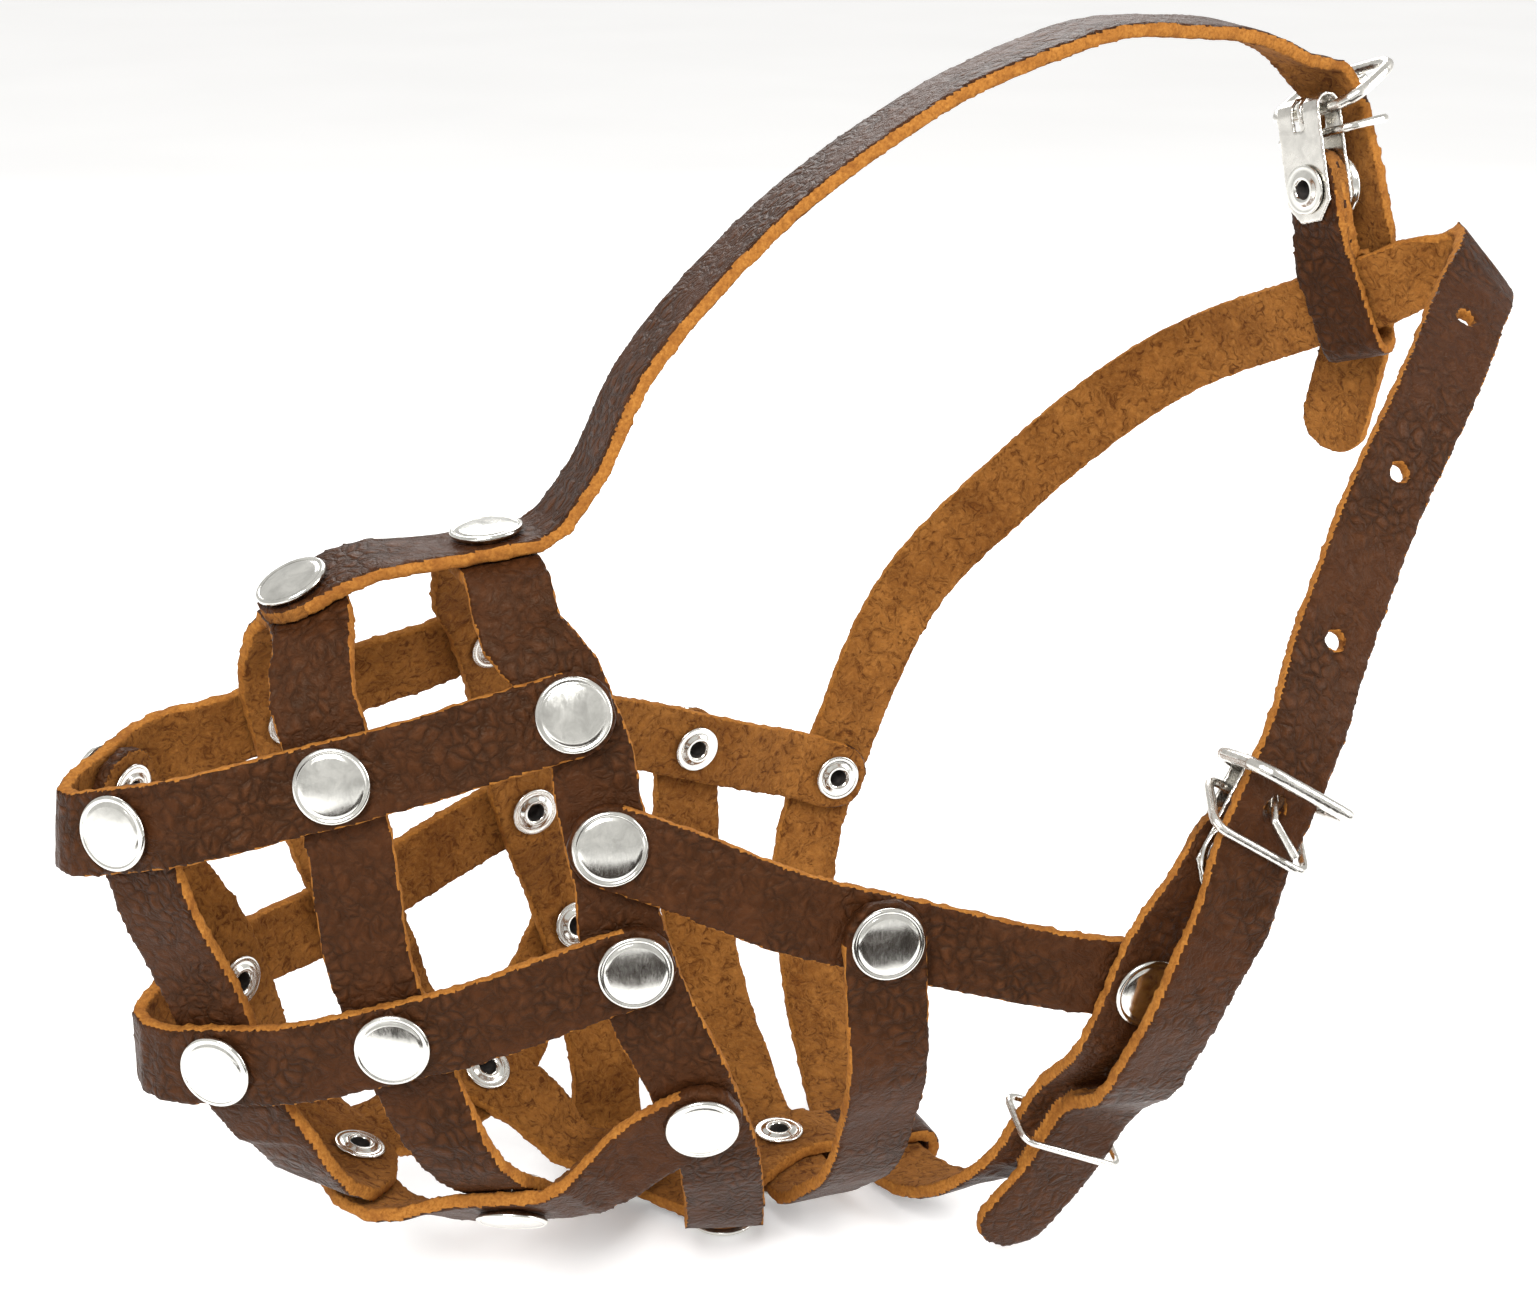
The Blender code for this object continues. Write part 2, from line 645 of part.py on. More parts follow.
def turned_mesh(profile, sides):
    """Solid of revolution about Z of a half section whose two ends lie on the axis."""
    guide = bpy.data.meshes.new("profile")
    guide.from_pydata([(x * MM, 0, z * MM) for x, z in profile],
                      [(i, i + 1) for i in range(len(profile) - 1)], [])
    obj = bpy.data.objects.new("profile", guide)
    CUTTERS.objects.link(obj)
    screw = obj.modifiers.new("turn", "SCREW")
    screw.steps = sides
    screw.render_steps = sides
    screw.use_merge_vertices = True
    screw.merge_threshold = 0.00001
    depsgraph = bpy.context.evaluated_depsgraph_get()
    mesh = bpy.data.meshes.new_from_object(obj.evaluated_get(depsgraph))
    bpy.data.objects.remove(obj)
    shape = bmesh.new()
    shape.from_mesh(mesh)
    bmesh.ops.remove_doubles(shape, verts=shape.verts, dist=0.00001)
    bmesh.ops.recalc_face_normals(shape, faces=shape.faces)
    shape.to_mesh(mesh)
    shape.free()
    mesh.shade_smooth()
    mesh.set_sharp_from_angle(angle=math.radians(35))
    return mesh


def rivet(name, point, normal, inner, outer):
    """A rivet whose flange bears at `inner` behind the point and whose cap bears at `outer`."""
    obj = add_mesh(name, turned_mesh(rivet_profile(inner + GAP, outer + GAP), RIVET_SIDES), "nickel")
    obj.location = Vector(point) * MM
    obj.rotation_mode = "QUATERNION"
    obj.rotation_quaternion = unit(normal).to_track_quat("Z", "Y")
    return obj


def all_rivets():
    for name, (point, normal, layers) in RIVETS.items():
        outer = (layers - 1) * PLY + STRAP_THICKNESS / 2
        rivet(f"rivet_{name}", point, normal, STRAP_THICKNESS / 2, outer)
    for name, buckle in (("neck", NECK_BUCKLE), ("forehead", FOREHEAD_BUCKLE)):
        _, _, out, _ = buckle_axes(buckle)
        face = buckle["layer"] / 2 + GAP + CLIP_SHEET
        rivet(f"rivet_{name}_clip", in_buckle(buckle, 0, CLIP_RIVET), out, face, face)


# ---------------------------------------------------------------- wire and sheet metal

def wire(name, points, radius, origin, cyclic=False):
    """A bent wire as a mesh whose origin is its hinge."""
    curve = bpy.data.curves.new(name, "CURVE")
    curve.dimensions = "3D"
    curve.bevel_depth = radius * MM
    curve.bevel_resolution = 2
    curve.use_fill_caps = True
    spline = curve.splines.new("POLY")
    spline.points.add(len(points) - 1)
    for item, point in zip(spline.points, points):
        item.co = (*((Vector(point) - Vector(origin)) * MM), 1)
    spline.use_cyclic_u = cyclic
    bent = bpy.data.objects.new(name + "_path", curve)
    CUTTERS.objects.link(bent)
    bent.location = Vector(origin) * MM
    bpy.context.view_layer.update()
    depsgraph = bpy.context.evaluated_depsgraph_get()
    mesh = bpy.data.meshes.new_from_object(bent.evaluated_get(depsgraph))
    shape = bmesh.new()
    shape.from_mesh(mesh)
    bmesh.ops.remove_doubles(shape, verts=shape.verts, dist=0.00001)
    bmesh.ops.recalc_face_normals(shape, faces=shape.faces)
    shape.to_mesh(mesh)
    shape.free()
    mesh.shade_smooth()
    obj = add_mesh(name, mesh, "nickel")
    obj.matrix_world = bent.matrix_world
    bpy.data.objects.remove(bent)
    return obj


def rounded_loop(centre, side, rise, half_width, half_height, corner, steps=4):
    """Points of a rectangle with round corners in the plane of two directions."""
    points = []
    corners = ((1, 1, 0), (-1, 1, 90), (-1, -1, 180), (1, -1, 270))
    for sign_x, sign_y, start in corners:
        for step in range(steps + 1):
            angle = math.radians(start + 90 * step / steps)
            x = sign_x * (half_width - corner) + corner * math.cos(angle)
            y = sign_y * (half_height - corner) + corner * math.sin(angle)
            points.append(centre + side * x + rise * y)
    return points


def buckle_frame(name, buckle):
    origin, side, _, _ = buckle_axes(buckle)
    outward = turned(buckle, buckle["frame_tilt"])
    centre = origin + outward * FRAME_DEPTH / 2
    points = rounded_loop(centre, side, outward, FRAME_HALF_WIDTH, FRAME_DEPTH / 2, 5.5)
    wire(f"{name}_buckle_frame", points, FRAME_WIRE, origin, cyclic=True)


def buckle_keeper(name, buckle):
    _, side, _, _ = buckle_axes(buckle)
    seat = in_buckle(buckle, 0, KEEPER_SEAT)
    outward = turned(buckle, buckle["keeper_tilt"])
    depth = buckle["keeper_depth"]
    centre = seat + outward * depth / 2
    points = rounded_loop(centre, side, outward, KEEPER_HALF_WIDTH, depth / 2, 2.6, steps=3)
    wire(f"{name}_buckle_keeper", points, KEEPER_WIRE, seat, cyclic=True)


def buckle_prong(name, buckle):
    """A pin bent round the ring's bar, its eye open where the wire comes round again."""
    origin = Vector(buckle["origin"])
    start, _ = prong_line(buckle)
    eye = FRAME_WIRE + GAP + PRONG_WIRE
    side = buckle["prong_side"]
    leave = buckle["prong_tilt"] + 90 * side
    turn = [origin + turned(buckle, leave + side * step * 26) * eye for step in range(10, 0, -1)]
    pin = [in_buckle(buckle, *place) for place in buckle["prong_end"]]
    wire(f"{name}_buckle_prong", turn + [start] + pin, PRONG_WIRE, origin)


def clip_outline(inside, steps=6):
    """Section of the folded sheet: out is x, along the clip is y."""
    outline = [(inside, CLIP_LENGTH)]
    outline += [(inside * math.cos(math.radians(a)), inside * math.sin(math.radians(a)))
                for a in (-180 * step / steps for step in range(steps + 1))]
    outline.append((-inside, CLIP_LENGTH))
    outside = inside + CLIP_SHEET
    outline.append((-outside, CLIP_LENGTH))
    outline += [(outside * math.cos(math.radians(a)), outside * math.sin(math.radians(a)))
                for a in (-180 + 180 * step / steps for step in range(steps + 1))]
    outline.append((outside, CLIP_LENGTH))
    return outline


def extruded(points, direction):
    """Closed mesh of a flat outline pushed along a direction."""
    shape = bmesh.new()
    face = shape.faces.new([shape.verts.new(point * MM) for point in points])
    pushed = bmesh.ops.extrude_face_region(shape, geom=[face])
    moved = [item for item in pushed["geom"] if isinstance(item, bmesh.types.BMVert)]
    bmesh.ops.translate(shape, verts=moved, vec=direction * MM)
    bmesh.ops.recalc_face_normals(shape, faces=shape.faces)
    mesh = bpy.data.meshes.new("extruded")
    shape.to_mesh(mesh)
    shape.free()
    return mesh


def box_between(buckle, outs, alongs, acrosses):
    """Cutter box in a buckle's own directions."""
    corners = [in_buckle(buckle, outs[i], alongs[j], acrosses[0]) for i, j in ((0, 0), (1, 0), (1, 1), (0, 1))]
    _, side, _, _ = buckle_axes(buckle)
    return extruded(corners, side * (acrosses[1] - acrosses[0]))


def clip(name, buckle):
    """Folded sheet with a slot for the prong's eye and a rivet hole, its far end rounded."""
    _, side, out, _ = buckle_axes(buckle)
    inside = buckle["layer"] / 2 + GAP
    points = [in_buckle(buckle, x, y, -CLIP_HALF_WIDTH) for x, y in clip_outline(inside)]
    obj = add_mesh(f"{name}_clip", extruded(points, side * 2 * CLIP_HALF_WIDTH), "nickel")
    reach = inside + CLIP_SHEET + 1
    slot = box_between(buckle, (-reach, reach), (-reach, CLIP_SLOT_END),
                       (-CLIP_SLOT_HALF_WIDTH, CLIP_SLOT_HALF_WIDTH))
    cut(obj, add_cutter(f"{name}_clip_slot", slot))
    shape = bmesh.new()
    drill(shape, in_buckle(buckle, 0, CLIP_RIVET), out, HOLE_RADIUS, 2 * reach)
    hole = bpy.data.meshes.new("hole")
    shape.to_mesh(hole)
    shape.free()
    cut(obj, add_cutter(f"{name}_clip_hole", hole))
    for index, sign in enumerate((-1, 1)):
        corner = [
            in_buckle(buckle, -reach, CLIP_LENGTH + 1, sign * (CLIP_HALF_WIDTH + 1)),
            in_buckle(buckle, -reach, CLIP_LENGTH - CLIP_CORNER, sign * (CLIP_HALF_WIDTH + 1)),
            in_buckle(buckle, -reach, CLIP_LENGTH - 0.7 * CLIP_CORNER, sign * (CLIP_HALF_WIDTH - 0.6)),
            in_buckle(buckle, -reach, CLIP_LENGTH + 1, sign * (CLIP_HALF_WIDTH - 0.93 * CLIP_CORNER)),
        ]
        cut(obj, add_cutter(f"{name}_clip_corner_{index}", extruded(corner, out * 2 * reach)))


def free_keeper():
    centre = (KEEPER_THROAT + KEEPER_TAIL) / 2
    side = KEEPER_ALONG.cross(KEEPER_OUT).normalized()
    rise = side.cross(KEEPER_ALONG).normalized()
    points = rounded_loop(centre, side, rise, FREE_KEEPER_HALF_WIDTH, FREE_KEEPER_HALF_HEIGHT, 2.4, steps=3)
    wire("free_keeper", points, FREE_KEEPER_WIRE, centre, cyclic=True)


def hardware():
    for name, buckle in (("neck", NECK_BUCKLE), ("forehead", FOREHEAD_BUCKLE)):
        clip(name, buckle)
        buckle_frame(name, buckle)
        buckle_prong(name, buckle)
        buckle_keeper(name, buckle)
    free_keeper()


def stand_on_origin():
    """Put the origin under the middle of the muzzle, at the height of the table."""
    bpy.context.view_layer.update()
    depsgraph = bpy.context.evaluated_depsgraph_get()
    low = Vector((1e9, 1e9, 1e9))
    high = -low
    for obj in PARTS.objects:
        solid = obj.evaluated_get(depsgraph)
        for vertex in solid.data.vertices:
            place = solid.matrix_world @ vertex.co
            low = Vector(map(min, low, place))
            high = Vector(map(max, high, place))
    shift = Vector(((low.x + high.x) / 2, (low.y + high.y) / 2, low.z))
    for obj in list(PARTS.objects) + list(CUTTERS.objects):
        obj.location -= shift
    bpy.context.view_layer.update()


clear_scene()
PARTS = new_collection("basket_muzzle")
CUTTERS = new_collection("cutters")
nose_bands()
chin_band()
hoops()
cheek_straps()
link_loop()
neck_strap()
forehead_strap()
forehead_loop()
all_rivets()
hardware()
stand_on_origin()
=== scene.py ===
"""Looks of the leather basket muzzle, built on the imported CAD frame.

Each strap is a finely meshed copy of its CAD solid, with softened edges, a pebbled grain side, a
suede flesh side and fuzzy cut edges. The buckles and clips are smoothed copies. The rivets are turned
round on the axes of the CAD ones.
"""

import json
import math

import bmesh
import bpy
from mathutils import Matrix, Vector, noise
from mathutils.bvhtree import BVHTree


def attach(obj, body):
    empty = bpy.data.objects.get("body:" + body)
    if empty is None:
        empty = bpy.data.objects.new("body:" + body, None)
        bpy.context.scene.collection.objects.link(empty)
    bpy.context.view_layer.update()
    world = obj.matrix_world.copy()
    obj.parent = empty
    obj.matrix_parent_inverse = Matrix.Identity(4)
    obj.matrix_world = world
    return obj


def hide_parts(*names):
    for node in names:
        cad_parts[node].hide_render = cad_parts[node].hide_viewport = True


MM = 0.001

LEATHER_VOXEL = 0.75 * MM
LEATHER_SMOOTHING = 3
METAL_VOXEL = 0.32 * MM
METAL_SMOOTHING = 2
WIRE_SWELL = 0.06 * MM
WELD_DISTANCE = 0.002 * MM

GRAIN, FLESH, CUT = range(3)    # the sides of a strap, and their material slots
SKIN = 0.02 * MM                # rays start this far inside a face
THICKEST_STRAP = 6.5 * MM       # a ray from a broad face leaves the strap within this
OPPOSITE = 0.55                 # cosine: how squarely the far side faces the other way
SAME_SIDE = 0.5                 # cosine between neighbouring faces of one side
RIVET_REACH = 26 * MM           # a rivet counts in the vote on a face within this
VOTE_SOFTENING = 2 * MM         # added to the distance, so that the nearest rivet isn't all

RIVET_STEPS = 48
SAME_FLAT = 0.9998              # cosine between faces of one flat
CAP_THICKNESS = 2.0 * MM
RIM_RADIUS = 0.55 * MM
FLANGE_THICKNESS = 1.1 * MM
FLANGE_EDGE = 0.3 * MM
SHANK = 2.4 * MM
BORE = 1.95 * MM

LENS = 56.82                    # millimetres, as the sensor is
SENSOR = 36.0
SHIFT = (0.0375, 0.0006)
CAMERA_AZIMUTH = -19.83         # degrees
CAMERA_ELEVATION = 18.66
CAMERA_PLACE = (-0.178368, -0.421565, 0.278169)
NEAREST_SEEN = 0.01

FLOOR_SIZE = 40.0
FLOOR_HEIGHT = -0.6 * MM
CARD_PLACE = (0.12, -0.52, 0.4 * MM)
CARD_SCALE = (0.95, 0.66, 1.0)
LIT_POINT = (0.0, 0.0, 0.1)     # where the lamps aim

# height in millimetres and scale of the two noises that roughen each side
ROUGHNESS = {
    CUT: ((0.30, 420.0), (0.16, 1100.0)),
    FLESH: ((0.14, 360.0), (0.10, 900.0)),
    GRAIN: ((0.10, 150.0), (0.06, 480.0)),
}

METAL_NODES = (
    "neck_buckle_frame", "neck_buckle_prong", "neck_buckle_keeper", "neck_clip",
    "forehead_buckle_frame", "forehead_buckle_prong", "forehead_buckle_keeper",
    "forehead_clip", "free_keeper",
)

# the rivets' vote on grain and flesh comes out the wrong way round on these
VOTE_REVERSED = ("forehead_loop",)

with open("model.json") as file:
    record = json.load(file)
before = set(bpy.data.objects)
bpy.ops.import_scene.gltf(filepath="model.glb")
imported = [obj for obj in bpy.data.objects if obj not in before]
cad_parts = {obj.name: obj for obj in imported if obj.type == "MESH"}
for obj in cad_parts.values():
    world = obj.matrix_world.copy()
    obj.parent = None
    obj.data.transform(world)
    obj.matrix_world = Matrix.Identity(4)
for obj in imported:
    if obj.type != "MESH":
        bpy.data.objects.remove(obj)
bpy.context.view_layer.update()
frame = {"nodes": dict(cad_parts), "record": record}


# ---------------------------------------------------------------- node graph helpers

def new_material(name):
    material = bpy.data.materials.new(name)
    material.use_nodes = True
    return material, material.node_tree


def add(tree, kind, **inputs):
    """A node of that kind with its sockets set by name."""
    node = tree.nodes.new(kind)
    for key, value in inputs.items():
        node.inputs[key.replace("_", " ")].default_value = value
    return node


def feed(tree, value, socket):
    """Links a socket, or sets a number or colour."""
    if isinstance(value, bpy.types.NodeSocket):
        tree.links.new(value, socket)
    else:
        socket.default_value = value


def noise_texture(tree, vector, scale, detail=4.0, rough=0.6, distortion=0.0):
    node = add(tree, "ShaderNodeTexNoise", Scale=scale, Detail=detail, Roughness=rough,
               Distortion=distortion)
    tree.links.new(vector, node.inputs["Vector"])
    return node.outputs["Fac"]


def ramp(tree, value, stops):
    """Colours by value: stops are (place, colour)."""
    node = tree.nodes.new("ShaderNodeValToRGB")
    elements = node.color_ramp.elements
    while len(elements) < len(stops):
        elements.new(0.5)
    for element, (place, colour) in zip(elements, stops):
        element.position = place
        element.color = (*colour, 1.0)
    tree.links.new(value, node.inputs["Fac"])
    return node.outputs["Color"]


def mix_colour(tree, factor, first, second, blend="MIX"):
    node = tree.nodes.new("ShaderNodeMix")
    node.data_type = "RGBA"
    node.blend_type = blend
    feed(tree, factor, node.inputs["Factor"])
    feed(tree, first, node.inputs[6])
    feed(tree, second, node.inputs[7])
    return node.outputs[2]


def math_node(tree, operation, first, second):
    node = tree.nodes.new("ShaderNodeMath")
    node.operation = operation
    feed(tree, first, node.inputs[0])
    feed(tree, second, node.inputs[1])
    return node.outputs[0]


def span(tree, value, low, high, to_low=0.0, to_high=1.0):
    """The value's range from low to high, stretched to another range and cut off at its ends."""
    node = add(tree, "ShaderNodeMapRange", From_Min=low, From_Max=high, To_Min=to_low,
               To_Max=to_high)
    tree.links.new(value, node.inputs["Value"])
    return node.outputs["Result"]


def bump(tree, height, strength, distance, normal=None):
    node = add(tree, "ShaderNodeBump", Strength=strength, Distance=distance)
    tree.links.new(height, node.inputs["Height"])
    if normal is not None:
        tree.links.new(normal, node.inputs["Normal"])
    return node.outputs["Normal"]


def place(tree):
    """Coordinates that stay with the piece."""
    return tree.nodes.new("ShaderNodeTexCoord").outputs["Object"]


def warped(tree, vector, scale, amount):
    """The coordinate pushed about by a noise, so that cells and creases bend."""
    swirl = tree.nodes.new("ShaderNodeTexNoise")
    swirl.inputs["Scale"].default_value = scale
    tree.links.new(vector, swirl.inputs["Vector"])
    offset = tree.nodes.new("ShaderNodeVectorMath")
    offset.operation = "MULTIPLY_ADD"
    offset.inputs[1].default_value = (amount, amount, amount)
    tree.links.new(swirl.outputs["Color"], offset.inputs[0])
    tree.links.new(vector, offset.inputs[2])
    return offset.outputs["Vector"]


def cells(tree, vector, scale):
    """Distance from the edges of irregular cells."""
    node = tree.nodes.new("ShaderNodeTexVoronoi")
    node.feature = "DISTANCE_TO_EDGE"
    node.inputs["Scale"].default_value = scale
    tree.links.new(vector, node.inputs["Vector"])
    return node.outputs["Distance"]


# ---------------------------------------------------------------- materials

def leather_grain():
    """The dyed, pebbled outside: irregular pebbles, creases darkened with painted shade, wrinkles and
    a low wax gloss.
    """
    material, tree = new_material("leather_grain")
    shader = tree.nodes["Principled BSDF"]
    where = place(tree)
    bent = warped(tree, where, 170.0, 0.0055)
    pebble = span(tree, cells(tree, bent, 400.0), 0.0, 0.42)
    small = span(tree, cells(tree, warped(tree, where, 420.0, 0.0018), 1000.0), 0.0, 0.4)
    wrinkle = noise_texture(tree, bent, 260.0, 5.0, 0.66, 1.4)
    patch = noise_texture(tree, where, 52.0, 4.0, 0.6)
    strength = span(tree, patch, 0.36, 0.6, 0.2, 1.0)
    dye = ramp(tree, wrinkle, [(0.28, (0.0229, 0.0071, 0.0022)), (0.5, (0.0484, 0.0155, 0.0050)),
                               (0.74, (0.0806, 0.0279, 0.0095))])
    worn = ramp(tree, patch, [(0.3, (0.0310, 0.0096, 0.0031)), (0.7, (0.0732, 0.0255, 0.0085))])
    body = mix_colour(tree, 0.45, dye, worn)
    # painted shade: the base colour is darkened along the pebbles' edges, down to 0.36, as shade in
    # the creases between them
    depth = math_node(tree, "MULTIPLY", math_node(tree, "SUBTRACT", 1.0, pebble), strength)
    crease_shade = span(tree, depth, 0.15, 0.9, 1.0, 0.36)
    crease_shade_grey = tree.nodes.new("ShaderNodeCombineColor")
    for channel in range(3):
        tree.links.new(crease_shade, crease_shade_grey.inputs[channel])
    tree.links.new(mix_colour(tree, 0.85, body, crease_shade_grey.outputs[0], "MULTIPLY"),
                   shader.inputs["Base Color"])
    relief = math_node(tree, "MULTIPLY", pebble, strength)
    normal = bump(tree, wrinkle, 0.75, 0.9 * MM)
    normal = bump(tree, relief, 0.8, 0.45 * MM, normal)
    normal = bump(tree, small, 0.4, 0.12 * MM, normal)
    tree.links.new(normal, shader.inputs["Normal"])
    tree.links.new(span(tree, wrinkle, 0.2, 0.8, 0.30, 0.48), shader.inputs["Roughness"])
    shader.inputs["Specular IOR Level"].default_value = 0.11
    shader.inputs["Specular Tint"].default_value = (1.0, 0.82, 0.62, 1.0)
    return material


def leather_flesh():
    """The suede inside: orange tan nap, rubbed dark in patches, with flecks and loose fibres."""
    material, tree = new_material("leather_flesh")
    shader = tree.nodes["Principled BSDF"]
    where = place(tree)
    bent = warped(tree, where, 240.0, 0.004)
    nap = noise_texture(tree, bent, 950.0, 6.0, 0.75)
    fleck = noise_texture(tree, bent, 380.0, 6.0, 0.7, 1.6)
    patch = noise_texture(tree, where, 55.0, 5.0, 0.65, 0.5)
    tan = ramp(tree, nap, [(0.3, (0.1320, 0.0432, 0.0077)), (0.5, (0.2560, 0.0965, 0.0192)),
                           (0.72, (0.4160, 0.1886, 0.0470))])
    shade = ramp(tree, patch, [(0.34, (0.1000, 0.0324, 0.0058)), (0.62, (0.3040, 0.1238, 0.0269))])
    base = mix_colour(tree, 0.55, tan, shade)
    dark = span(tree, fleck, 0.36, 0.5, 0.85, 0.0)
    tree.links.new(mix_colour(tree, dark, base, (0.0680, 0.0194, 0.0036, 1.0)),
                   shader.inputs["Base Color"])
    normal = bump(tree, fleck, 0.9, 0.9 * MM)
    normal = bump(tree, nap, 0.8, 0.35 * MM, normal)
    tree.links.new(normal, shader.inputs["Normal"])
    tree.links.new(span(tree, nap, 0.2, 0.8, 0.82, 0.98), shader.inputs["Roughness"])
    shader.inputs["Specular IOR Level"].default_value = 0.05
    shader.inputs["Sheen Weight"].default_value = 0.02
    shader.inputs["Sheen Roughness"].default_value = 0.5
    return material


def leather_cut():
    """The cut edge: raw orange fibre in layers, darkened where the dye ran over."""
    material, tree = new_material("leather_cut")
    shader = tree.nodes["Principled BSDF"]
    where = place(tree)
    fibre = noise_texture(tree, warped(tree, where, 500.0, 0.001), 1400.0, 5.0, 0.7)
    patch = noise_texture(tree, where, 170.0, 5.0, 0.66, 0.4)
    raw = ramp(tree, fibre, [(0.28, (0.1615, 0.0560, 0.0094)), (0.52, (0.3060, 0.1200, 0.0220)),
                             (0.78, (0.4250, 0.1960, 0.0429))])
    stain = span(tree, patch, 0.36, 0.52, 0.6, 0.0)
    tree.links.new(mix_colour(tree, stain, raw, (0.1700, 0.0560, 0.0110, 1.0)),
                   shader.inputs["Base Color"])
    normal = bump(tree, patch, 0.6, 0.5 * MM)
    normal = bump(tree, fibre, 0.7, 0.25 * MM, normal)
    tree.links.new(normal, shader.inputs["Normal"])
    tree.links.new(span(tree, fibre, 0.2, 0.8, 0.75, 0.95), shader.inputs["Roughness"])
    shader.inputs["Specular IOR Level"].default_value = 0.08
    return material


def plated(name, colour, low, high, scratch):
    """Nickel plate: bright, faintly clouded, with fine rubbing marks."""
    material, tree = new_material(name)
    shader = tree.nodes["Principled BSDF"]
    where = place(tree)
    cloud = noise_texture(tree, where, 260.0, 5.0, 0.6, 0.5)
    stretch = tree.nodes.new("ShaderNodeMapping")
    stretch.inputs["Scale"].default_value = (3500.0, 260.0, 900.0)
    stretch.inputs["Rotation"].default_value = (0.4, 0.9, 0.3)
    tree.links.new(where, stretch.inputs["Vector"])
    rub = noise_texture(tree, stretch.outputs["Vector"], 1.0, 3.0, 0.6)
    dim = tuple(0.74 * c for c in colour)
    tree.links.new(ramp(tree, cloud, [(0.3, dim), (0.62, colour)]), shader.inputs["Base Color"])
    shader.inputs["Metallic"].default_value = 1.0
    tree.links.new(span(tree, math_node(tree, "ADD", cloud, rub), 0.7, 1.35, low, high),
                   shader.inputs["Roughness"])
    normal = bump(tree, rub, scratch, 0.04 * MM)
    normal = bump(tree, cloud, 0.12, 0.12 * MM, normal)
    tree.links.new(normal, shader.inputs["Normal"])
    return material


def painted_bore_shade():
    """Painted shade for the unpolished inside of a rivet's tube: near black and dull, mottled with
    leather dust.
    """
    material, tree = new_material("painted_bore_shade")
    shader = tree.nodes["Principled BSDF"]
    dust_and_shade = noise_texture(tree, place(tree), 900.0, 4.0)
    tree.links.new(ramp(tree, dust_and_shade, [(0.35, (0.010, 0.009, 0.008)), (0.7, (0.045, 0.036, 0.03))]),
                   shader.inputs["Base Color"])
    shader.inputs["Metallic"].default_value = 0.3
    shader.inputs["Roughness"].default_value = 0.7
    tree.links.new(bump(tree, dust_and_shade, 0.3, 0.1 * MM), shader.inputs["Normal"])
    return material


# ---------------------------------------------------------------- shapes

def welded(node):
    """The node's mesh as a bmesh with its split corners joined."""
    mesh = bmesh.new()
    mesh.from_mesh(frame["nodes"][node].data)
    bmesh.ops.remove_doubles(mesh, verts=mesh.verts, dist=WELD_DISTANCE)
    mesh.normal_update()
    mesh.faces.ensure_lookup_table()
    return mesh


def broad_faces(mesh, tree):
    """Faces whose other side is one strap thickness away, so not a cut edge."""
    found = set()
    for face in mesh.faces:
        start = face.calc_center_median() - face.normal * SKIN
        hit, away, _, _ = tree.ray_cast(start, -face.normal, THICKEST_STRAP)
        if hit is not None and abs(away.dot(face.normal)) > OPPOSITE:
            found.add(face.index)
    return found


def regions(mesh, chosen):
    """The chosen faces in groups that join along edges."""
    left = set(chosen)
    groups = []
    while left:
        stack = [left.pop()]
        group = []
        while stack:
            index = stack.pop()
            group.append(index)
            face = mesh.faces[index]
            for edge in face.edges:
                for other in edge.link_faces:
                    if other.index in left and other.normal.dot(face.normal) > SAME_SIDE:
                        left.remove(other.index)
                        stack.append(other.index)
        groups.append(group)
    return groups


def measured(points, centre, direction):
    """Each point's height along the axis and its distance from it."""
    rows = []
    for point in points:
        offset = point - centre
        height = offset.dot(direction)
        rows.append((height, (offset - height * direction).length))
    return rows


def widths(rows, level):
    """The widest reach above and below a height."""
    ahead = max((radius for height, radius in rows if height > level), default=0.0)
    behind = max((radius for height, radius in rows if height < level), default=0.0)
    return ahead, behind


def best_axis(mesh):
    """The direction that most of a turned piece's flat area faces."""
    best = None
    most = 0.0
    for polygon in mesh.polygons:
        area = sum(p.area for p in mesh.polygons if abs(p.normal.dot(polygon.normal)) > SAME_FLAT)
        if area > most:
            most = area
            best = polygon.normal.copy()
    return best


def rivet_axes():
    """Middle and direction, from washer to cap, of every rivet."""
    axes = {}
    for name in frame["nodes"]:
        if not name.startswith("rivet_"):
            continue
        mesh = frame["nodes"][name].data
        weight = Vector((0.0, 0.0, 0.0))
        total = 0.0
        for polygon in mesh.polygons:
            weight += polygon.center * polygon.area
            total += polygon.area
        centre = weight / total
        direction = best_axis(mesh)
        rows = measured([v.co for v in mesh.vertices], centre, direction)
        heights = [height for height, _ in rows]
        level = (max(heights) + min(heights)) / 2
        ahead, behind = widths(rows, level)
        axes[name] = (centre + direction * level, direction if ahead > behind else -direction)
    return axes


def sides(mesh, axes, reversed_vote):
    """For each face of a strap grain, flesh or cut edge, and the tree that finds faces."""
    tree = BVHTree.FromBMesh(mesh)
    broad = broad_faces(mesh, tree)
    kind = {face.index: CUT for face in mesh.faces}
    for group in regions(mesh, broad):
        vote = 0.0
        for index in group:
            face = mesh.faces[index]
            middle = face.calc_center_median()
            for centre, direction in axes.values():
                gap = (middle - centre).length
                if gap < RIVET_REACH:
                    weight = face.calc_area() / (gap + VOTE_SOFTENING)
                    vote += weight * face.normal.dot(direction)
        if reversed_vote:
            vote = -vote
        for index in group:
            kind[index] = GRAIN if vote > 0 else FLESH
    return kind, tree


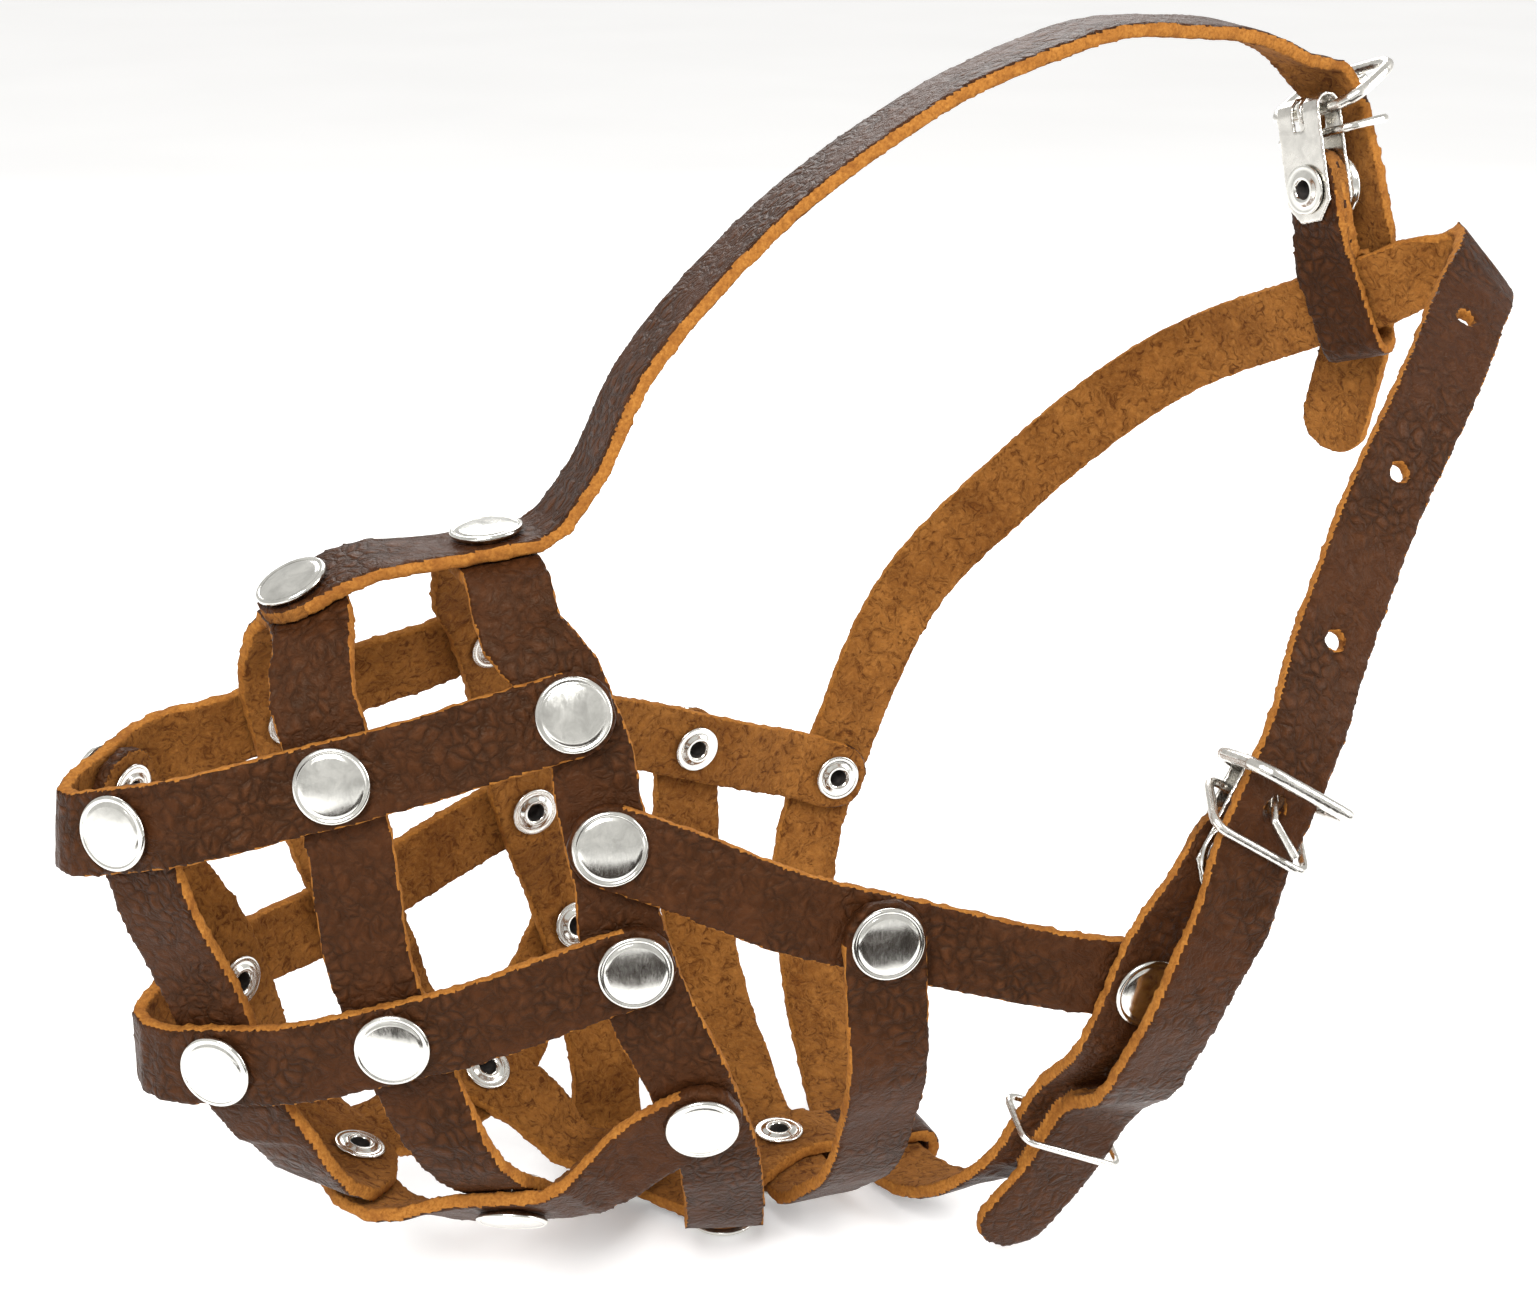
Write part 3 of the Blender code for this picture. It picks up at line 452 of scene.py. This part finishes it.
def remeshed(node, voxel, relax):
    """A dense, even copy of the node's solid with softened edges."""
    source = welded(node)
    data = bpy.data.meshes.new(node + "_fine")
    source.to_mesh(data)
    piece = bpy.data.objects.new(node + "_look", data)
    bpy.context.scene.collection.objects.link(piece)
    even = piece.modifiers.new("Remesh", "REMESH")
    even.mode = "VOXEL"
    even.voxel_size = voxel
    even.use_smooth_shade = True
    soft = piece.modifiers.new("Smooth", "SMOOTH")
    soft.factor = 0.5
    soft.iterations = relax
    graph = bpy.context.evaluated_depsgraph_get()
    result = bpy.data.meshes.new_from_object(piece.evaluated_get(graph))
    piece.modifiers.clear()
    piece.data = result
    return piece, source


def roughened(data):
    """Moves each point along its normal by the noise of its side; cut edges go first."""
    side = {vertex.index: GRAIN for vertex in data.vertices}
    for wanted in (FLESH, CUT):
        for polygon in data.polygons:
            if polygon.material_index == wanted:
                side.update(dict.fromkeys(polygon.vertices, wanted))
    normals = [vertex.normal.copy() for vertex in data.vertices]
    for vertex, normal in zip(data.vertices, normals):
        where = vertex.co.copy()
        waves = ROUGHNESS[side[vertex.index]]
        lift = sum(height * noise.noise(where * scale) for height, scale in waves)
        vertex.co += normal * lift * MM


def strap_piece(node, axes, materials):
    """One strap: its surface sorted into sides, then roughened as each side is."""
    piece, source = remeshed(node, LEATHER_VOXEL, LEATHER_SMOOTHING)
    kind, tree = sides(source, axes, node in VOTE_REVERSED)
    data = piece.data
    for material in materials:
        data.materials.append(material)
    for polygon in data.polygons:
        _, _, index, _ = tree.find_nearest(polygon.center)
        polygon.material_index = kind[index]
    source.free()
    roughened(data)
    data.update()
    return piece


def metal_piece(node, material):
    """A smoothed copy; wire is filled out to the round that its flat-sided CAD solid stands for."""
    piece, source = remeshed(node, METAL_VOXEL, METAL_SMOOTHING)
    source.free()
    piece.data.materials.append(material)
    swell = 0.0 if node.endswith("_clip") else WIRE_SWELL
    normals = [vertex.normal.copy() for vertex in piece.data.vertices]
    for vertex, normal in zip(piece.data.vertices, normals):
        vertex.co += normal * swell
    for polygon in piece.data.polygons:
        polygon.use_smooth = True
    return piece


def body_of(node):
    """The name of the body that the node belongs to."""
    for body, members in frame["record"]["behaviour"]["bodies"].items():
        if node in members:
            return body
    raise KeyError(node)


def stand_for(piece, node):
    """The piece moves with the node's body and is shown for it."""
    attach(piece, body_of(node))
    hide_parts(node)


def turned(name, centre, direction, profile, materials):
    """A solid of revolution; its (radius, height) points start and end on the centre line."""
    turn = direction.to_track_quat("Z", "X").to_matrix()
    mesh = bmesh.new()
    rings = []
    for radius, height in profile:
        if radius < 1e-6:
            rings.append([mesh.verts.new(centre + turn @ Vector((0.0, 0.0, height)))])
            continue
        ring = []
        for step in range(RIVET_STEPS):
            angle = 2.0 * math.pi * step / RIVET_STEPS
            spot = Vector((radius * math.cos(angle), radius * math.sin(angle), height))
            ring.append(mesh.verts.new(centre + turn @ spot))
        rings.append(ring)
    for first, second in zip(rings, rings[1:]):
        for step in range(RIVET_STEPS):
            corners = [first[step % len(first)], first[(step + 1) % len(first)],
                       second[(step + 1) % len(second)], second[step % len(second)]]
            unique = [c for i, c in enumerate(corners) if c not in corners[:i]]
            mesh.faces.new(unique)
    bmesh.ops.recalc_face_normals(mesh, faces=mesh.faces)
    data = bpy.data.meshes.new(name)
    mesh.to_mesh(data)
    mesh.free()
    for material in materials:
        data.materials.append(material)
    # faces of the tube on the washer side take slot 1, the painted shade that stands for the dark
    # hole
    bore = BORE - 0.02 * MM
    for polygon in data.polygons:
        polygon.use_smooth = True
        offset = polygon.center - centre
        height = offset.dot(direction)
        if height < 0.0 and (offset - height * direction).length < bore:
            polygon.material_index = 1
    item = bpy.data.objects.new(name, data)
    bpy.context.scene.collection.objects.link(item)
    return item


def arc(centre, radius, start, end, steps):
    """Points on an arc in the profile's plane, angles in degrees from the radial direction."""
    points = []
    for step in range(steps + 1):
        angle = math.radians(start + (end - start) * step / steps)
        points.append((centre[0] + radius * math.cos(angle), centre[1] + radius * math.sin(angle)))
    return points


def rivet_profile(cap, flange, top, bottom):
    """Domed cap with a rolled rim, a shank, and a flared flange with an open tube."""
    dome_edge = cap - 1.25 * MM
    under = top - CAP_THICKNESS + 0.02 * MM
    face = bottom + FLANGE_THICKNESS
    points = [(0.0, top)]
    for step in range(1, 9):
        part = step / 8
        points.append((dome_edge * part, top - 0.42 * MM * part ** 2.2))
    points.append((dome_edge + 0.22 * MM, top - 0.66 * MM))
    points += arc((cap - RIM_RADIUS, top - 0.95 * MM), RIM_RADIUS, 115, -80, 8)
    points += [
        (cap - 0.7 * MM, under),
        (SHANK, under),
        (SHANK, face),
        (flange - FLANGE_EDGE, face),
    ]
    points += arc((flange - FLANGE_EDGE, face - FLANGE_EDGE), FLANGE_EDGE, 80, -80, 5)
    points += [
        (flange - 0.7 * MM, face - 0.52 * MM),
        (flange - 1.3 * MM, face - 0.50 * MM),
        (flange - 1.8 * MM, face - 0.66 * MM),
        (3.0 * MM, bottom + 0.06 * MM),
        (2.7 * MM, bottom),
        (2.35 * MM, bottom + 0.03 * MM),
        (BORE, bottom + 0.28 * MM),
        (BORE - 0.1 * MM, bottom + 0.8 * MM),
        (BORE - 0.1 * MM, bottom + 3.2 * MM),
        (0.0, bottom + 3.3 * MM),
    ]
    return points


def rivet_piece(node, axis, materials):
    """A round rivet on the CAD rivet's axis, reaching as far as it does."""
    rows = measured([v.co for v in frame["nodes"][node].data.vertices], *axis)
    heights = [height for height, _ in rows]
    profile = rivet_profile(*widths(rows, 0.0), max(heights), min(heights))
    return turned(node + "_look", *axis, profile, materials)


# ---------------------------------------------------------------- stage

def area_light(name, where, size, power):
    """A soft rectangular lamp turned towards the object."""
    data = bpy.data.lights.new(name, "AREA")
    data.shape = "RECTANGLE"
    data.size, data.size_y = size
    data.energy = power
    item = bpy.data.objects.new(name, data)
    bpy.context.scene.collection.objects.link(item)
    item.location = where
    item.rotation_euler = (Vector(LIT_POINT) - Vector(where)).to_track_quat("-Z", "Y").to_euler()


def make_floor():
    """A pale table top."""
    bpy.ops.mesh.primitive_plane_add(size=FLOOR_SIZE, location=(0.0, 0.0, FLOOR_HEIGHT))
    floor = bpy.context.object
    floor.name = "floor"
    material, tree = new_material("floor")
    shader = tree.nodes["Principled BSDF"]
    tone = noise_texture(tree, place(tree), 3.0, 2.0)
    tree.links.new(ramp(tree, tone, [(0.3, (0.86, 0.86, 0.86)), (0.7, (0.9, 0.9, 0.9))]),
                   shader.inputs["Base Color"])
    shader.inputs["Roughness"].default_value = 0.8
    shader.inputs["Emission Color"].default_value = (1.0, 1.0, 1.0, 1.0)
    shader.inputs["Emission Strength"].default_value = 0.28
    floor.data.materials.append(material)


def make_surround():
    """Soft light from all round, against plain white."""
    world = bpy.data.worlds.new("studio")
    world.use_nodes = True
    sky = world.node_tree
    glow = sky.nodes["Background"]
    glow.inputs["Strength"].default_value = 0.72
    glow.inputs["Color"].default_value = (1.0, 0.99, 0.97, 1.0)
    seen = add(sky, "ShaderNodeBackground", Color=(1.0, 1.0, 1.0, 1.0), Strength=1.0)
    choice = sky.nodes.new("ShaderNodeMixShader")
    sky.links.new(sky.nodes.new("ShaderNodeLightPath").outputs["Is Camera Ray"],
                  choice.inputs["Fac"])
    sky.links.new(glow.outputs[0], choice.inputs[1])
    sky.links.new(seen.outputs[0], choice.inputs[2])
    sky.links.new(choice.outputs[0], sky.nodes["World Output"].inputs["Surface"])
    bpy.context.scene.world = world
    bpy.context.scene.view_settings.view_transform = "Standard"


def make_lights():
    """Window light from the front left, and weaker light from the right and from behind."""
    area_light("key", (-0.55, -0.75, 1.0), (0.6, 0.6), 20.0)
    area_light("side", (0.9, -0.5, 0.55), (0.4, 0.7), 7.0)
    area_light("back", (0.3, 1.0, 0.9), (0.8, 0.6), 9.0)


def make_dark_card():
    """The dark room beyond the table's front edge, seen only in the polished caps."""
    bpy.ops.mesh.primitive_plane_add(size=1.0, location=CARD_PLACE)
    card = bpy.context.object
    card.name = "dark_card"
    card.scale = CARD_SCALE
    material, tree = new_material("dark_card")
    shader = tree.nodes["Principled BSDF"]
    tone = noise_texture(tree, place(tree), 5.0, 2.0)
    tree.links.new(ramp(tree, tone, [(0.35, (0.012, 0.011, 0.010)), (0.65, (0.06, 0.05, 0.045))]),
                   shader.inputs["Base Color"])
    shader.inputs["Roughness"].default_value = 1.0
    shader.inputs["Specular IOR Level"].default_value = 0.0
    card.data.materials.append(material)
    card.visible_camera = False
    card.visible_diffuse = False
    card.visible_shadow = False
    card.visible_transmission = False


def make_camera():
    """The camera fitted to the photograph."""
    data = bpy.data.cameras.new("camera")
    data.sensor_width = SENSOR
    data.lens = LENS
    data.shift_x, data.shift_y = SHIFT
    data.clip_start = NEAREST_SEEN
    item = bpy.data.objects.new("camera", data)
    bpy.context.scene.collection.objects.link(item)
    turn = math.radians(CAMERA_AZIMUTH)
    rise = math.radians(CAMERA_ELEVATION)
    back = Vector((math.sin(turn) * math.cos(rise), -math.cos(turn) * math.cos(rise),
                   math.sin(rise)))
    right = Vector((math.cos(turn), math.sin(turn), 0.0))
    up = back.cross(right)
    pose = Matrix((right, up, back)).transposed().to_4x4()
    pose.translation = Vector(CAMERA_PLACE)
    item.matrix_world = pose
    bpy.context.scene.camera = item


# ---------------------------------------------------------------- build

make_camera()
make_floor()
make_surround()
make_lights()
make_dark_card()
leathers = (leather_grain(), leather_flesh(), leather_cut())
cap_metal = plated("cap_plate", (0.80, 0.79, 0.74), 0.10, 0.24, 0.10)
# painted shade for the inside of the rivet tubes
bore_shade_metal = painted_bore_shade()
cast_metal = plated("cast_plate", (0.74, 0.72, 0.67), 0.16, 0.34, 0.22)
rivets = rivet_axes()

for node in sorted(frame["nodes"]):
    if node.startswith("rivet_"):
        part = rivet_piece(node, rivets[node], (cap_metal, bore_shade_metal))
        stand_for(part, node)
    elif node in METAL_NODES:
        part = metal_piece(node, cast_metal)
        stand_for(part, node)
    else:
        part = strap_piece(node, rivets, leathers)
        stand_for(part, node)
